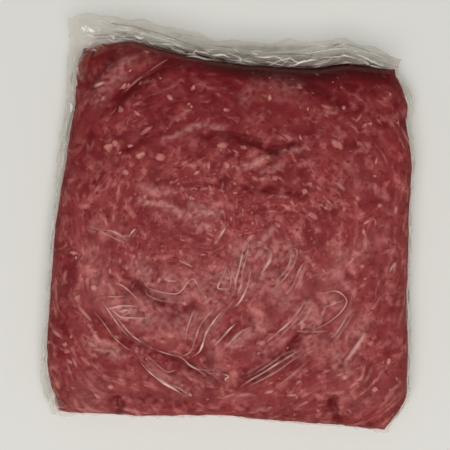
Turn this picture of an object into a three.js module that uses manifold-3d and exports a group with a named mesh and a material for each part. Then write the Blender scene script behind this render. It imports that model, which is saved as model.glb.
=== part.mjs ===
// A clear vacuum bag of minced beef, lying flat with its sealed mouth at +Y.
// The bag is two webs of film, sealed to each other round the rim. The mince holds them apart in the
// middle, and past the seam they run on together as a narrow margin and, at the mouth, a long tail.
// One warped box is the whole bag: its top face is the upper web and its bottom face the lower one.
import * as THREE from "three";
import { mergeVertices } from "three/addons/utils/BufferGeometryUtils.js";
import Module from "manifold-3d";

// Driving dimensions, in millimetres
const seamHeight = 14; // of the seam above the table, where the bag is widest
const crownHeight = 40; // of the middle of the face
const crownFall = 2.5; // from the middle of the face to just inside its shoulders
const sealThickness = 1; // of the two webs sealed together, drawn stouter than film
const tailLength = 21; // of the film past the mince at the mouth, measured along the film
const underbite = 4; // how far the lower web would bulge below the table that it lies on

// The corners of the filled part, seen from above
const corners = {
  nearLeft: [-107.4, -119.2],
  nearRight: [100.2, -130.5],
  farLeft: [-93.1, 113.8],
  farRight: [106.5, 98.6],
};

// How far each side of the filled part bulges out of the straight line between its corners, at equal
// steps: from near to far on the left and right, and from left to right on the near and far ends
const bulge = {
  left: [0, 6.2, 9.4, 9.8, 9.8, 9.4, 9.1, 7.5, 5.2, 3.7, 1.8, 1.7, 0],
  right: [0, 11.8, 12.9, 12.6, 11.2, 11.3, 11.3, 11.3, 11.8, 12, 8.6, 7.6, 0],
  near: [0, -0.6, -0.9, -0.7, -1.6, -2.9, -3.9, -3.1, -2.4, -2, -1.9, -1.1, 0],
  far: [0, 2.1, 4.9, 1.6, -0.9, -2.7, -4, -3.9, -3.9, -3, 0.9, 0.9, 0],
};

// How far the sealed film shows past the mince, seen from above, at the same steps
const margin = {
  left: [5, 6.3, 3.5, 2.2, 2, 2.2, 2.5, 3, 5.5, 6, 5.4, 6, 7.5],
  right: [2, 2.2, 2, 2.4, 2.6, 2, 1.8, 1.8, 1.8, 2, 3.2, 4, 1.4],
  near: [2, 1, 0.8, 0.8, 0.8, 0.8, 0.8, 0.8, 0.8, 0.8, 0.8, 0.8, 1.6],
  far: [17.5, 16, 11.4, 13.8, 12.9, 11.6, 11.5, 12.4, 14.7, 15.3, 12.3, 10, 3.1],
};

// How far in from each seam the mince takes to reach its full height
const shoulder = { left: 22, right: 15, near: 15 };
const farShoulder = [26, 24, 19, 17, 16, 16, 17, 19, 23, 27, 28, 26, 24]; // at equal steps across
const underShoulder = 13; // all round the underside

const sharpness = { face: 2.2, under: 1.25 }; // how steeply the mince stands up from its seams
const farSlope = 0.68; // of that at the mouth, where it slopes

// Folds of the face: from and to, the sideways bow of the line between them, half width, rise
const folds = [
  { from: [-73, 70], to: [-25, 103], bow: 5, half: 3.6, rise: -2.6 },
  { from: [-66, 67], to: [-22, 97], bow: 5, half: 3.4, rise: 1.2 },
  { from: [-88, 83], to: [-67, 108], bow: 2, half: 4, rise: -2.4 },
  { from: [-76, 48], to: [-42, 60], bow: 1, half: 3, rise: 1.6 },
  { from: [-69, 43], to: [-47, 55], bow: 0, half: 3, rise: -1.8 },
  { from: [-40, 62], to: [6, 53], bow: 3, half: 3, rise: 1.5 },
  { from: [-16, 56], to: [34, 45], bow: 2.5, half: 3.2, rise: -2.2 },
  { from: [24, 43], to: [42, 52], bow: 0, half: 3, rise: -1.9 },
  { from: [10, 35], to: [49, 50], bow: -1, half: 2.8, rise: 1.4 },
  { from: [10, 24], to: [50, 18], bow: 1, half: 3.4, rise: -1.5 },
  { from: [-60, 16], to: [-7, 8], bow: -1.5, half: 3.2, rise: 1.4 },
  { from: [-80, 2], to: [-52, -4], bow: -1, half: 2.8, rise: 1.1 },
  { from: [36, 92], to: [78, 69], bow: 4, half: 4, rise: -2 },
  { from: [-62, -30], to: [-17, -52], bow: -6, half: 3.6, rise: -1.8 },
  { from: [-80, -54], to: [-46, -80], bow: -2, half: 3.2, rise: -1.5 },
  { from: [-44, -76], to: [-4, -95], bow: -2, half: 3.6, rise: -1.8 },
  { from: [-46, -84], to: [-22, -106], bow: -2, half: 2.8, rise: 1.3 },
  { from: [6, -97], to: [50, -62], bow: -5, half: 3.8, rise: -2 },
  { from: [14, -8], to: [4, -52], bow: 3, half: 3, rise: 1.3 },
  { from: [2, -52], to: [-22, -80], bow: -3, half: 3, rise: 1.3 },
  { from: [26, -101], to: [72, -64], bow: -5, half: 3, rise: 1.2 },
  { from: [76, -68], to: [85, -80], bow: 0, half: 3, rise: 1.2 },
  { from: [65, -105], to: [71, -128], bow: -1, half: 2.8, rise: -2.4 },
  { from: [-67, -106], to: [-68, -120], bow: 0, half: 3.4, rise: -2 },
];

// Wide hollows where the mince thins out towards the corners at the mouth: place, reach, rise
const hollows = [
  { at: [-90, 106], reach: 24, rise: -6 },
  { at: [88, 92], reach: 26, rise: -5 },
];

// Long, shallow swells of the packed mince: wavelengths across and along, phase, height
const swells = [
  { across: 171, along: 113, phase: 0.6, height: 0.5 },
  { across: 67, along: -152, phase: 2.1, height: 0.3 },
  { across: 131, along: 49, phase: 4.4, height: 0.25 },
];

// Cockles of the sealed film, which is longer than the seam it hangs from: wavelength and height
const sideCockle = { length: 19, height: 0.7 };
const tailCockle = { length: 31, height: 1.3 };
const cockleMix = { length: 0.58, height: 0.6 }; // of a second wave, which keeps them uneven

// Cells of the mesh
const cells = { across: 54, along: 56, sideMargin: 2, tail: 5, hem: 1 };
const edgeCrowding = 0.42; // 0 spaces the cells evenly, and 1 crowds them to the seams as a cosine does

const lerp = THREE.MathUtils.lerp;
const smoothstep = THREE.MathUtils.smoothstep;

// The value of a list of equal steps at share, from 0 to 1, along a smooth curve through them
function along(list, share) {
  const points = list.map((value, i) => new THREE.Vector2(i, value));
  return new THREE.SplineCurve(points).getPoint(share).y;
}

// A point of the filled part from above, for shares 0 to 1 from left to right and from near to far
function plan(s, t) {
  const corner = (axis) =>
    lerp(
      lerp(corners.nearLeft[axis], corners.nearRight[axis], s),
      lerp(corners.farLeft[axis], corners.farRight[axis], s),
      t,
    );
  const x = corner(0) - (1 - s) * along(bulge.left, t) + s * along(bulge.right, t);
  const y = corner(1) - (1 - t) * along(bulge.near, s) + t * along(bulge.far, s);
  return [x, y];
}

// The share of its full height that the mince has at a distance from a seam. A sharpness of 1 rises
// straight from the seam, and a higher one stands up from it steeply
function rise(distance, reach, sharpness) {
  const left = 1 - Math.min(distance / reach, 1);
  return (1 - left ** 2.2) ** (1 / sharpness);
}

// How full the bag is at a place, from 0 on the seams to 1 inside
function fullness(s, t, reach, farReach, sharpness) {
  const width = corners.nearRight[0] - corners.nearLeft[0];
  const length = corners.farLeft[1] - corners.nearLeft[1];
  return (
    rise(s * width, reach.left, sharpness) *
    rise((1 - s) * width, reach.right, sharpness) *
    rise(t * length, reach.near, sharpness) *
    rise((1 - t) * length, farReach, sharpness * farSlope)
  );
}

// The height that one fold adds at x, y: a bell across the bowed line, faded out past both its ends
function foldHeight(fold, x, y) {
  const start = new THREE.Vector2(...fold.from);
  const run = new THREE.Vector2(...fold.to).sub(start);
  const here = new THREE.Vector2(x, y).sub(start);
  const share = here.dot(run) / run.lengthSq();
  const clamped = THREE.MathUtils.clamp(share, 0, 1);
  const aside = run.cross(here) / run.length() - fold.bow * 4 * clamped * (1 - clamped);
  const fade = smoothstep(share, -0.12, 0.2) * (1 - smoothstep(share, 0.8, 1.12));
  return fold.rise * Math.exp(-((aside / fold.half) ** 2)) * fade;
}

// What the folds, hollows and swells add to the face at x, y
function relief(x, y) {
  const folded = folds.reduce((sum, fold) => sum + foldHeight(fold, x, y), 0);
  const hollowed = hollows.reduce((sum, { at, reach, rise: height }) => {
    const distance = Math.hypot(x - at[0], y - at[1]);
    return sum + height * Math.exp(-((distance / reach) ** 2));
  }, 0);
  const swelled = swells.reduce((sum, w) => {
    const turn = 2 * Math.PI * (x / w.across + y / w.along) + w.phase;
    return sum + w.height * Math.sin(turn);
  }, 0);
  return folded + hollowed + swelled;
}

// An uneven wave of the sealed film, from how far along the seam it is
function cockle({ length, height }, distance) {
  const turn = (2 * Math.PI * distance) / length;
  return height * (Math.sin(turn) + cockleMix.height * Math.sin(turn / cockleMix.length + 1));
}

// The rows or columns of the mesh: a share of the filled part, and how far out of it, from 0 to 1,
// on the margin before it (negative) or after it
function stations(count, before, after) {
  const list = [];
  for (let i = -before; i <= count + after; i++) {
    const even = THREE.MathUtils.clamp(i / count, 0, 1);
    const crowded = (1 - Math.cos(Math.PI * even)) / 2;
    const out = i < 0 ? i / before : i > count ? (i - count) / after : 0;
    list.push({ share: lerp(even, crowded, edgeCrowding), out });
  }
  return list;
}

// The sheet between the webs. It lies level inside the seams, hangs a little on the margins, and
// stands up along the tail, where less of it shows from above the steeper it stands
function sheet(column, row) {
  const [x, y] = plan(column.share, row.share);
  const p = new THREE.Vector3(x, y, seamHeight);
  if (column.out !== 0) {
    const shown = along(column.out < 0 ? margin.left : margin.right, row.share);
    p.x += column.out * shown;
    p.z += Math.abs(column.out) * (cockle(sideCockle, y) - shown * 0.5);
  }
  if (row.out > 0) {
    const shown = along(margin.far, column.share);
    const stood = Math.sqrt(tailLength ** 2 - shown ** 2);
    const wave = cockle(tailCockle, x);
    p.y += row.out * (shown + 0.6 * wave);
    p.z += row.out ** 1.3 * stood + row.out * wave;
  }
  if (row.out < 0) {
    const shown = along(margin.near, column.share);
    p.y += row.out * shown;
    p.z += row.out * 2 * shown;
  }
  return p;
}

// The direction that the sheet faces at a row and column, from its neighbours
function facing(columns, rows, i, j) {
  const at = (a, b) =>
    sheet(
      columns[THREE.MathUtils.clamp(a, 0, columns.length - 1)],
      rows[THREE.MathUtils.clamp(b, 0, rows.length - 1)],
    );
  const acrossRun = at(i + 1, j).sub(at(i - 1, j));
  const alongRun = at(i, j + 1).sub(at(i, j - 1));
  return acrossRun.cross(alongRun).normalize();
}

// A point of the upper web, or of the lower one
function webPoint(columns, rows, i, j, upper) {
  const [column, row] = [columns[i], rows[j]];
  const p = sheet(column, row);
  const away = facing(columns, rows, i, j).multiplyScalar(sealThickness / 2);
  p.addScaledVector(away, upper ? 1 : -1);
  if (column.out !== 0 || row.out !== 0) return p;
  const { share: s } = column;
  const { share: t } = row;
  if (upper) {
    const full = fullness(s, t, shoulder, along(farShoulder, s), sharpness.face);
    const fall = crownFall * (1 - Math.sin(Math.PI * s) * Math.sin(Math.PI * t));
    p.z += full * (crownHeight - seamHeight - fall + relief(p.x, p.y));
  } else {
    const reach = { left: underShoulder, right: underShoulder, near: underShoulder };
    p.z -= fullness(s, t, reach, underShoulder, sharpness.under) * (seamHeight + underbite);
  }
  return p;
}

// The bag as it would hang free, before the table flattens its underside
function looseBag() {
  const columns = stations(cells.across, cells.sideMargin, cells.sideMargin);
  const rows = stations(cells.along, cells.hem, cells.tail);
  const [nx, ny] = [columns.length - 1, rows.length - 1];
  const box = new THREE.BoxGeometry(nx, ny, 1, nx, ny, 1);
  const place = box.getAttribute("position");
  for (let n = 0; n < place.count; n++) {
    const i = Math.round(place.getX(n) + nx / 2);
    const j = Math.round(place.getY(n) + ny / 2);
    place.setXYZ(n, ...webPoint(columns, rows, i, j, place.getZ(n) > 0));
  }
  return box;
}

// The table's top, as a slab that takes away what would bulge below it
function table() {
  const [size, depth] = [400, 60];
  return new THREE.BoxGeometry(size, size, depth).translate(0, 0, -depth / 2);
}

const wasm = await Module();
wasm.setup();

function solidOf(geometry) {
  const bare = new THREE.BufferGeometry()
    .setAttribute("position", geometry.getAttribute("position"))
    .setIndex(geometry.getIndex());
  const merged = mergeVertices(bare, 1e-4);
  const mesh = new wasm.Mesh({
    numProp: 3,
    vertProperties: merged.getAttribute("position").array,
    triVerts: new Uint32Array(merged.getIndex().array),
  });
  return new wasm.Manifold(mesh);
}

function geometryOf(solid) {
  const { vertProperties, triVerts } = solid.getMesh();
  const geometry = new THREE.BufferGeometry()
    .setAttribute("position", new THREE.BufferAttribute(vertProperties, 3))
    .setIndex(new THREE.BufferAttribute(triVerts, 1));
  geometry.computeVertexNormals();
  return geometry;
}

// Minced beef under clear film: dull dark red with a soft shine
const filmOverMince = new THREE.MeshStandardMaterial({
  color: 0x8a4443,
  roughness: 0.35,
  metalness: 0,
});

const bag = new THREE.Mesh(
  geometryOf(solidOf(looseBag()).subtract(solidOf(table()))),
  filmOverMince,
);
bag.name = "sealed_bag_of_mince";

const pack = new THREE.Group();
pack.add(bag);

export default pack;
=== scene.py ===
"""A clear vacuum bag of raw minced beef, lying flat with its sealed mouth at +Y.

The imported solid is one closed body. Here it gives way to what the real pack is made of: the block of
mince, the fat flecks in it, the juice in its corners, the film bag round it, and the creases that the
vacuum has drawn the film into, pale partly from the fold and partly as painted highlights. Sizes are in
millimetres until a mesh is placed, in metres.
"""

import math
import random
from functools import partial

import bmesh
import bpy
import numpy as np
from mathutils import Matrix, Vector, noise
from mathutils.bvhtree import BVHTree


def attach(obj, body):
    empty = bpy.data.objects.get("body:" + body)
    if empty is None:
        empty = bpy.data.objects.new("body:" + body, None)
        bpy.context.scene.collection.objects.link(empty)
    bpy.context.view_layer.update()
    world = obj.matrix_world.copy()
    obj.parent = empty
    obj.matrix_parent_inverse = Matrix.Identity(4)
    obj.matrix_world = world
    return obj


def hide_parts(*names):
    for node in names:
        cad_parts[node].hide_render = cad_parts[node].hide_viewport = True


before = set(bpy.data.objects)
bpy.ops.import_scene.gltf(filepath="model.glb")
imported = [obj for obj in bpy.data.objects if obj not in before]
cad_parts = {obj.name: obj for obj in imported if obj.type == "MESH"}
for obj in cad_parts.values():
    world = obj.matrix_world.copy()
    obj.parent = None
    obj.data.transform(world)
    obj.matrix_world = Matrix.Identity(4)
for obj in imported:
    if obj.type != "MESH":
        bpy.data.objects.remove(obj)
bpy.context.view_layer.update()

NODE = "sealed_bag_of_mince"
MM = 0.001


# The filled bag, as in the solid's own source

SEAM_HEIGHT = 14  # above the table, where the bag is widest
CROWN_HEIGHT = 40  # of the middle of the face
CROWN_FALL = 2.5  # from the middle of the face to just inside its shoulders
TAIL_LENGTH = 21  # of the film past the mince at the mouth, measured along the film
UNDERBITE = 4  # how far the lower web would bulge below the table that it lies on

NEAR_LEFT, NEAR_RIGHT = (-107.4, -119.2), (100.2, -130.5)
FAR_LEFT, FAR_RIGHT = (-93.1, 113.8), (106.5, 98.6)
BAG_WIDTH, BAG_LENGTH = NEAR_RIGHT[0] - NEAR_LEFT[0], FAR_LEFT[1] - NEAR_LEFT[1]
SPAN, MOUTH_SPAN = 230, 200  # of the bag either way, and of its mouth, in round figures

# How far each side bulges out of the straight line between its corners, at equal steps
BULGE = {
    "left": [0, 6.2, 9.4, 9.8, 9.8, 9.4, 9.1, 7.5, 5.2, 3.7, 1.8, 1.7, 0],
    "right": [0, 11.8, 12.9, 12.6, 11.2, 11.3, 11.3, 11.3, 11.8, 12, 8.6, 7.6, 0],
    "near": [0, -0.6, -0.9, -0.7, -1.6, -2.9, -3.9, -3.1, -2.4, -2, -1.9, -1.1, 0],
    "far": [0, 2.1, 4.9, 1.6, -0.9, -2.7, -4, -3.9, -3.9, -3, 0.9, 0.9, 0],
}

# How far the sealed film shows past the mince, seen from above, at the same steps
MARGIN = {
    "left": [5, 6.3, 3.5, 2.2, 2, 2.2, 2.5, 3, 5.5, 6, 5.4, 6, 7.5],
    "right": [2, 2.2, 2, 2.4, 2.6, 2, 1.8, 1.8, 1.8, 2, 3.2, 4, 1.4],
    "near": [2, 1, 0.8, 0.8, 0.8, 0.8, 0.8, 0.8, 0.8, 0.8, 0.8, 0.8, 1.6],
    "far": [17.5, 16, 11.4, 13.8, 12.9, 11.6, 11.5, 12.4, 14.7, 15.3, 12.3, 10, 3.1],
}

# How far in from each seam the mince takes to reach its full height, and the same for the underside
SHOULDER = {"left": 22, "right": 15, "near": 15}
FAR_SHOULDER = [26, 24, 19, 17, 16, 16, 17, 19, 23, 27, 28, 26, 24]  # at equal steps across
UNDER = {"left": 13, "right": 13, "near": 13}
FACE_SHARPNESS, UNDER_SHARPNESS = 2.2, 1.25  # how steeply the mince stands up from its seams
FAR_SLOPE = 0.68  # of that at the mouth, where it slopes
ROUNDNESS = 2.2  # of the skin where it comes up to its full height

# Folds of the face: from, to, the sideways bow of the line between them, half width, rise
FOLDS = [
    ((-73, 70), (-25, 103), 5, 3.6, -2.6),
    ((-66, 67), (-22, 97), 5, 3.4, 1.2),
    ((-88, 83), (-67, 108), 2, 4, -2.4),
    ((-76, 48), (-42, 60), 1, 3, 1.6),
    ((-69, 43), (-47, 55), 0, 3, -1.8),
    ((-40, 62), (6, 53), 3, 3, 1.5),
    ((-16, 56), (34, 45), 2.5, 3.2, -2.2),
    ((24, 43), (42, 52), 0, 3, -1.9),
    ((10, 35), (49, 50), -1, 2.8, 1.4),
    ((10, 24), (50, 18), 1, 3.4, -1.5),
    ((-60, 16), (-7, 8), -1.5, 3.2, 1.4),
    ((-80, 2), (-52, -4), -1, 2.8, 1.1),
    ((36, 92), (78, 69), 4, 4, -2),
    ((-62, -30), (-17, -52), -6, 3.6, -1.8),
    ((-80, -54), (-46, -80), -2, 3.2, -1.5),
    ((-44, -76), (-4, -95), -2, 3.6, -1.8),
    ((-46, -84), (-22, -106), -2, 2.8, 1.3),
    ((6, -97), (50, -62), -5, 3.8, -2),
    ((14, -8), (4, -52), 3, 3, 1.3),
    ((2, -52), (-22, -80), -3, 3, 1.3),
    ((26, -101), (72, -64), -5, 3, 1.2),
    ((76, -68), (85, -80), 0, 3, 1.2),
    ((65, -105), (71, -128), -1, 2.8, -2.4),
    ((-67, -106), (-68, -120), 0, 3.4, -2),
]

# Finer folds than the solid can hold, in the same form
FINE_FOLDS = [
    ((-79, 66), (-30, 99), 6, 1.1, -0.9),
    ((-62, 80), (-36, 97), 2, 0.9, 0.7),
    ((-84, 88), (-50, 112), 3, 1.3, -1.0),
    ((-80, 78), (-74, 84), 0, 1.5, -1.0),
    ((-10, 57), (20, 52), 1, 1.2, -1.0),
    ((30, 43), (46, 49), 0, 1.2, -1.0),
    ((12, 22), (46, 19), 0, 1.3, -0.8),
    ((-48, 12), (-14, 4), -1, 1.4, -0.8),
    ((52, 83), (48, 61), 0, 0.8, -0.6),
    ((78, 66), (70, 42), 0, 0.8, -0.6),
    ((-55, -33), (-30, -53), -4, 1.3, -0.9),
    ((-40, -78), (-10, -93), -1, 1.2, -0.8),
    ((10, -94), (46, -66), -4, 1.3, -0.9),
    ((-5, 60), (-30, 58), -2, 1.2, -0.6),
]

# Wide hollows where the mince thins out towards the corners at the mouth: place, reach, rise
HOLLOWS = [((-90, 106), 24, -6), ((88, 92), 26, -5)]

# Long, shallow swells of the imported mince: wavelengths across and along, phase, height
SWELLS = [(171, 113, 0.6, 0.5), (67, -152, 2.1, 0.3), (131, 49, 4.4, 0.25)]

# Cockles of the sealed film: wavelength, height, and the second wave that keeps them uneven
SIDE_COCKLE, TAIL_COCKLE = (19, 0.7), (31, 1.3)
SECOND_COCKLE = (0.58, 0.6)
EDGE_CROWDING = 0.42


# What the picture shows of the film and the fat, by its own picture elements, 450 to a side

FACE_SCALE = 0.615  # mm to a picture element on the face, which is nearer the lens than the seam
SLACK_SCALE = 0.629  # the same on the slack film past the mince, and in its low corners
MIDDLE = 225  # of the picture, across and down
LENS = (-1.5, -0.4)  # where the lens is over the bag

# Creases of the film, pale partly from the fold and partly as painted highlights:
# how white, half width in mm, and the line that each follows
CREASES_AND_HIGHLIGHTS = [
    (0.6, 0.5, [(88, 226), (97, 229), (112, 231), (124, 237), (128, 242)]),
    (0.5, 0.5, [(92, 228), (106, 234), (118, 240), (128, 243)]),
    (0.5, 0.5, [(110, 231), (122, 236), (131, 235)]),
    (0.7, 0.6, [(128, 238), (132, 232), (136, 228)]),
    (0.4, 0.5, [(131, 238), (135, 233), (138, 229)]),
    (0.5, 0.5, [(104, 296), (114, 297), (125, 296)]),
    (0.6, 0.5, [(112, 283), (121, 285), (132, 294), (141, 304)]),
    (0.7, 0.6, [(104, 309), (112, 308), (121, 306), (131, 306), (141, 307)]),
    (0.8, 0.6, [(106, 305), (114, 312), (121, 317), (136, 318), (149, 318)]),
    (0.7, 0.7, [(118, 313), (124, 310), (130, 312), (123, 315)]),
    (0.6, 0.6, [(116, 309), (122, 312), (129, 309)]),
    (0.7, 0.5, [(100, 300), (107, 309), (113, 318), (120, 328), (128, 337)]),
    (0.7, 0.5, [(111, 313), (120, 322), (130, 334), (139, 341), (147, 346)]),
    (0.55, 0.5, [(93, 311), (102, 322), (113, 337), (124, 347), (133, 352)]),
    (0.7, 0.5, [(147, 346), (163, 353), (181, 358), (190, 366), (199, 370), (216, 371)]),
    (0.9, 0.6, [(140, 362), (150, 373), (163, 383), (177, 391), (189, 400)]),
    (0.6, 0.5, [(143, 361), (154, 374), (168, 384), (180, 389), (192, 400)]),
    (0.6, 0.5, [(146, 355), (156, 364), (167, 372), (176, 370)]),
    (0.4, 0.5, [(188, 364), (198, 371), (208, 378)]),
    (0.3, 0.6, [(196, 366), (210, 374), (224, 384)]),
    (0.8, 0.5, [(143, 281), (148, 288), (160, 292), (175, 294), (182, 290), (188, 282), (193, 279),
                (197, 284), (200, 291), (205, 296)]),
    (0.4, 0.5, [(145, 288), (147, 295), (158, 300), (170, 302), (181, 303)]),
    (0.6, 0.6, [(194, 310), (190, 320), (187, 330), (185, 342)]),
    (0.3, 0.7, [(198, 310), (195, 318), (189, 330)]),
    (0.7, 0.6, [(221, 301), (209, 314), (200, 326), (195, 340), (190, 352), (181, 357)]),
    (1.0, 0.7, [(226, 307), (214, 321), (206, 333), (203, 343), (199, 352), (190, 358)]),
    (0.9, 0.6, [(214, 346), (222, 338), (230, 329), (237, 323)]),
    (0.4, 0.6, [(236, 298), (226, 310), (216, 322), (211, 330)]),
    (0.7, 0.6, [(246, 239), (243, 250), (240, 265), (236, 280), (235, 290), (228, 302)]),
    (0.7, 0.6, [(249, 243), (247, 255), (243, 270), (241, 285), (237, 297)]),
    (0.8, 0.6, [(251, 268), (248, 284), (243, 296), (238, 304), (234, 307)]),
    (0.9, 0.7, [(216, 243), (220, 236), (226, 227)]),
    (0.7, 0.6, [(227, 267), (222, 278), (218, 288), (230, 289)]),
    (0.6, 0.5, [(227, 267), (231, 277), (230, 289)]),
    (0.4, 0.5, [(229, 268), (234, 278), (236, 290)]),
    (0.8, 1.0, [(264, 246), (271, 252), (270, 260), (265, 268), (261, 274)]),
    (0.6, 0.6, [(290, 249), (296, 249), (297, 256), (292, 268), (284, 279), (273, 290)]),
    (0.55, 0.6, [(291, 252), (290, 262), (283, 274), (271, 286)]),
    (0.6, 0.6, [(308, 262), (303, 264), (298, 273), (293, 285), (287, 293), (276, 296)]),
    (0.35, 0.7, [(305, 268), (301, 279), (294, 290)]),
    (0.8, 0.5, [(313, 293), (324, 293), (334, 291), (342, 294), (347, 301), (343, 310), (335, 318),
                (325, 325), (312, 331)]),
    (0.7, 0.5, [(345, 300), (336, 303), (326, 307), (323, 309)]),
    (0.45, 0.6, [(295, 331), (305, 332), (318, 332), (330, 331)]),
    (0.7, 0.8, [(311, 315), (304, 320), (298, 325)]),
    (0.5, 0.7, [(312, 308), (308, 314), (301, 322)]),
    (0.5, 0.7, [(356, 310), (349, 314), (344, 322), (338, 332), (330, 340)]),
    (0.35, 0.7, [(354, 314), (346, 326), (336, 340)]),
    (0.7, 1.1, [(366, 333), (358, 345), (351, 355), (346, 361)]),
    (0.65, 0.7, [(306, 300), (298, 312), (288, 324), (276, 334), (262, 346)]),
    (0.45, 0.6, [(309, 303), (300, 316), (289, 328), (279, 338), (266, 348)]),
    (0.6, 0.9, [(221, 352), (231, 342), (241, 332), (252, 327)]),
    (0.4, 0.8, [(230, 346), (240, 338), (250, 330)]),
    (0.7, 0.6, [(303, 349), (291, 356), (278, 364), (264, 373), (250, 381), (240, 388)]),
    (0.5, 0.6, [(306, 352), (292, 361), (278, 371), (262, 380), (246, 388)]),
    (0.35, 0.8, [(313, 356), (302, 367), (290, 377), (276, 387)]),
    (0.4, 0.6, [(298, 350), (284, 355), (268, 366), (254, 375), (238, 380)]),
    (0.8, 0.6, [(222, 374), (229, 377), (225, 380), (231, 383)]),
    (0.45, 1.1, [(86, 341), (92, 345), (98, 348)]),
    (0.45, 0.9, [(90, 349), (104, 351), (112, 352), (118, 362)]),
    (0.8, 0.7, [(389, 273), (396, 263), (394, 272)]),
    (0.8, 0.7, [(178, 260), (185, 263), (193, 267)]),
    (0.8, 0.7, [(163, 278), (170, 281), (177, 281)]),
    (0.6, 0.5, [(124, 91), (133, 82), (142, 75)]),
    (0.5, 0.5, [(149, 70), (159, 63), (168, 57)]),
    (0.6, 0.9, [(92, 86), (99, 83), (105, 81)]),
]

# Wrinkles and seal lines of the slack film past the mince, with painted glints: how white
# (below 0, how dark, as a painted dark reflection), and the rest as above
SLACK_CREASES_AND_GLINTS = [
    (0.55, 0.45, [(96, 19), (114, 21), (132, 22), (152, 25), (172, 31), (190, 37), (208, 43),
                 (226, 46)]),
    (-0.45, 0.4, [(100, 23), (120, 25), (142, 29), (164, 35), (184, 42), (204, 48)]),
    (0.5, 0.45, [(108, 27), (126, 29), (146, 34), (166, 40), (184, 46), (200, 51)]),
    (0.4, 0.4, [(98, 32), (116, 35), (132, 38), (148, 42), (160, 47)]),
    (-0.4, 0.5, [(110, 38), (126, 40), (142, 44), (156, 48), (172, 53)]),
    (0.9, 1.1, [(86, 25), (90, 29), (96, 32)]),
    (0.8, 0.9, [(109, 33), (113, 36), (112, 39)]),
    (0.8, 0.8, [(132, 21), (137, 26), (140, 31)]),
    (0.9, 0.8, [(134, 34), (139, 37), (145, 36)]),
    (0.8, 0.6, [(147, 40), (152, 43), (158, 42)]),
    (-0.5, 0.5, [(170, 44), (184, 49), (198, 54), (212, 58)]),
    (0.9, 0.6, [(176, 49), (184, 53), (192, 52), (200, 55)]),
    (0.8, 0.5, [(186, 57), (196, 57), (206, 60), (216, 60)]),
    (0.9, 0.5, [(200, 50), (212, 54), (222, 54), (232, 58)]),
    (0.9, 0.7, [(236, 55), (241, 58), (240, 62), (246, 64)]),
    (0.7, 0.4, [(224, 61), (236, 61), (248, 60), (258, 62), (270, 60)]),
    (-0.35, 1.7, [(222, 47), (244, 48), (268, 49), (292, 48), (314, 47)]),
    (0.8, 0.5, [(252, 56), (264, 57), (276, 56), (284, 60), (296, 62)]),
    (0.9, 0.6, [(268, 65), (276, 61), (288, 58), (298, 57)]),
    (0.9, 0.6, [(284, 65), (294, 64), (302, 61), (312, 59), (322, 60)]),
    (-0.5, 0.5, [(262, 54), (280, 54), (298, 54), (316, 55)]),
    (0.7, 0.4, [(300, 54), (314, 52), (328, 50), (344, 49), (356, 51)]),
    (0.8, 0.5, [(322, 62), (332, 57), (344, 55), (354, 57), (362, 61)]),
    (0.8, 0.5, [(350, 53), (362, 56), (374, 61), (384, 65), (392, 68)]),
    (-0.4, 0.6, [(330, 46), (346, 46), (360, 49), (374, 55)]),
    (0.6, 0.4, [(228, 44), (250, 44), (276, 43), (304, 42), (332, 42), (352, 43), (368, 46), (382, 53)]),
    (0.9, 0.6, [(364, 58), (372, 65), (382, 68)]),
    (0.5, 0.4, [(91, 51), (95, 50), (97, 53)]),
    (0.6, 0.5, [(75, 64), (78, 68), (77, 72)]),
    (0.7, 0.6, [(72, 80), (71, 88), (74, 96), (70, 103)]),
    (0.9, 0.9, [(68, 100), (71, 106), (69, 112)]),
    (0.6, 0.6, [(66, 116), (65, 124), (64, 132)]),
    (0.9, 0.7, [(62, 137), (65, 142), (62, 147)]),
    (0.6, 0.5, [(61, 150), (62, 160), (58, 172)]),
    (-0.4, 0.5, [(74, 104), (70, 116), (67, 128), (65, 142)]),
    (0.7, 0.5, [(403, 96), (406, 102), (411, 108)]),
    (0.6, 0.5, [(404, 118), (406, 128), (408, 140)]),
    (0.6, 0.5, [(399, 72), (402, 80), (404, 88)]),
    (0.6, 0.6, [(47, 352), (46, 366), (47, 380)]),
    (0.8, 0.8, [(47, 392), (50, 398), (48, 406), (53, 410)]),
    (0.6, 1.2, [(52, 386), (55, 394), (54, 402), (60, 408)]),
    (0.6, 0.9, [(46, 400), (52, 405), (58, 410), (66, 411)]),
    (0.6, 0.5, [(52, 214), (50, 232), (49, 250)]),
    (0.5, 0.5, [(47, 286), (46, 304), (45, 322)]),
    (0.7, 0.5, [(409, 300), (410, 318), (409, 334)]),
]
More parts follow.
